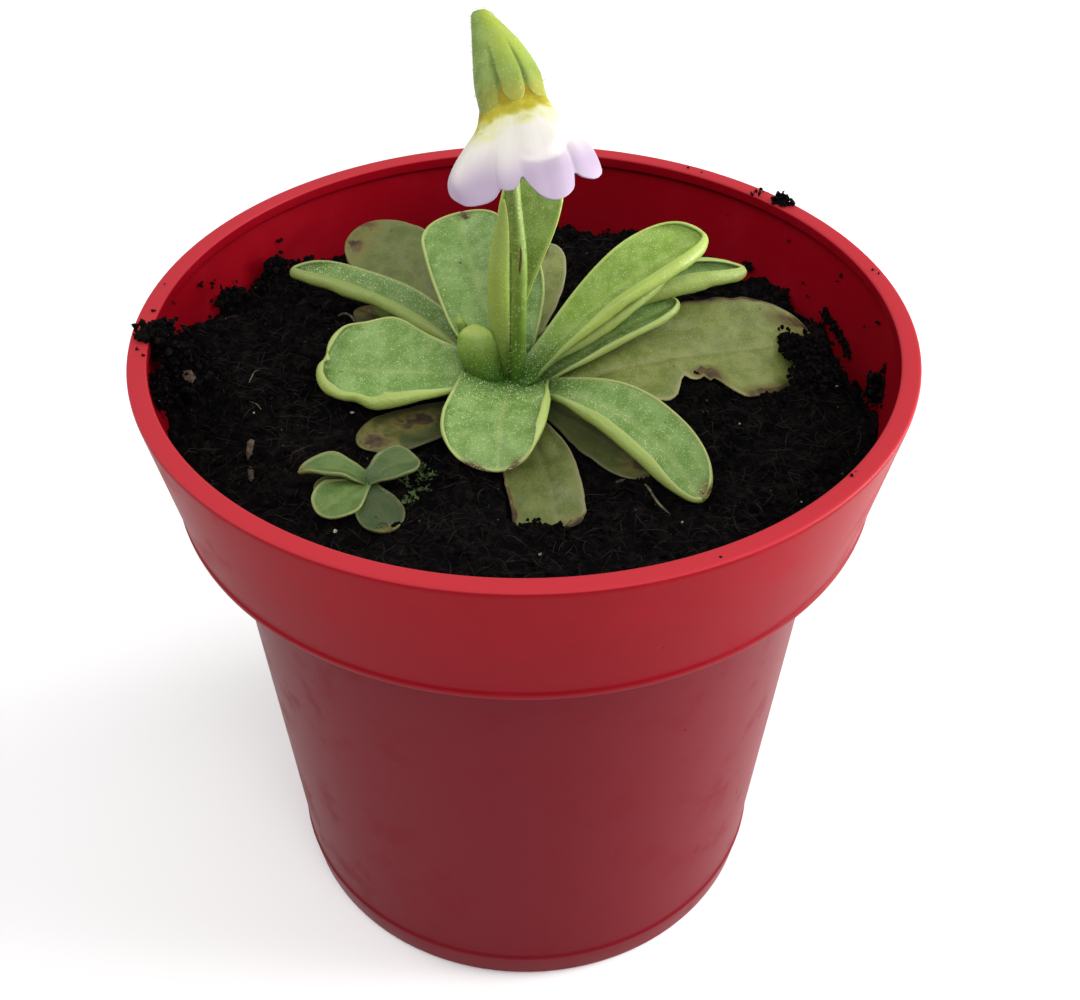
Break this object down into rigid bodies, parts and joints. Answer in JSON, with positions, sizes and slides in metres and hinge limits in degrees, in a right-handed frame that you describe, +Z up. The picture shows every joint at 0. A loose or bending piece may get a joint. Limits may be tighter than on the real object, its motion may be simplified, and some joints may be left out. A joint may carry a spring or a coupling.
{
  "type": "potted butterwort",
  "caption": "Butterwort rosette with a nodding white and violet flower and a small plantlet, in a round banded plastic pot filled with dark peat.",
  "frame": {"origin": "middle of the underside of the pot's foot, on the surface that the pot stands on", "axes": "+Z up along the pot's axis, -Y towards the viewer of the picture, +X to that viewer's right"},
  "size_m": [0.12, 0.12, 0.1601],
  "materials": {
    "pot_plastic": "satin",
    "peat": "matte",
    "leaf_green": "satin",
    "leaf_young": "satin",
    "leaf_old": "matte",
    "stalk_green": "satin",
    "petal": "matte"
  },
  "bodies": {
    "root": {"pot": "pot_plastic", "soil": "peat", "crown": "leaf_green", "scape": "stalk_green", "calyx": "stalk_green", "corolla": "petal", "plantlet": "leaf_green", "crumb_back": "peat", "crumb_left": "peat", "leaf_right_old": "leaf_old", "leaf_right_front_old": "leaf_old", "leaf_front_old": "leaf_old", "leaf_left_front_old": "leaf_old", "leaf_left_old": "leaf_old", "leaf_back_left_old": "leaf_old", "leaf_back_old": "leaf_old", "leaf_right_back_old": "leaf_old", "leaf_front": "leaf_green", "leaf_right_front": "leaf_green", "leaf_left_front": "leaf_green", "leaf_left_long": "leaf_green", "leaf_right_short": "leaf_green", "leaf_right_tube": "leaf_green", "leaf_back_left": "leaf_green", "leaf_back_right": "leaf_green", "leaf_right_second": "leaf_green", "leaf_right_long": "leaf_young", "leaf_young_upright": "leaf_young", "leaf_young_bud": "leaf_young"}
  },
  "joints": []
}
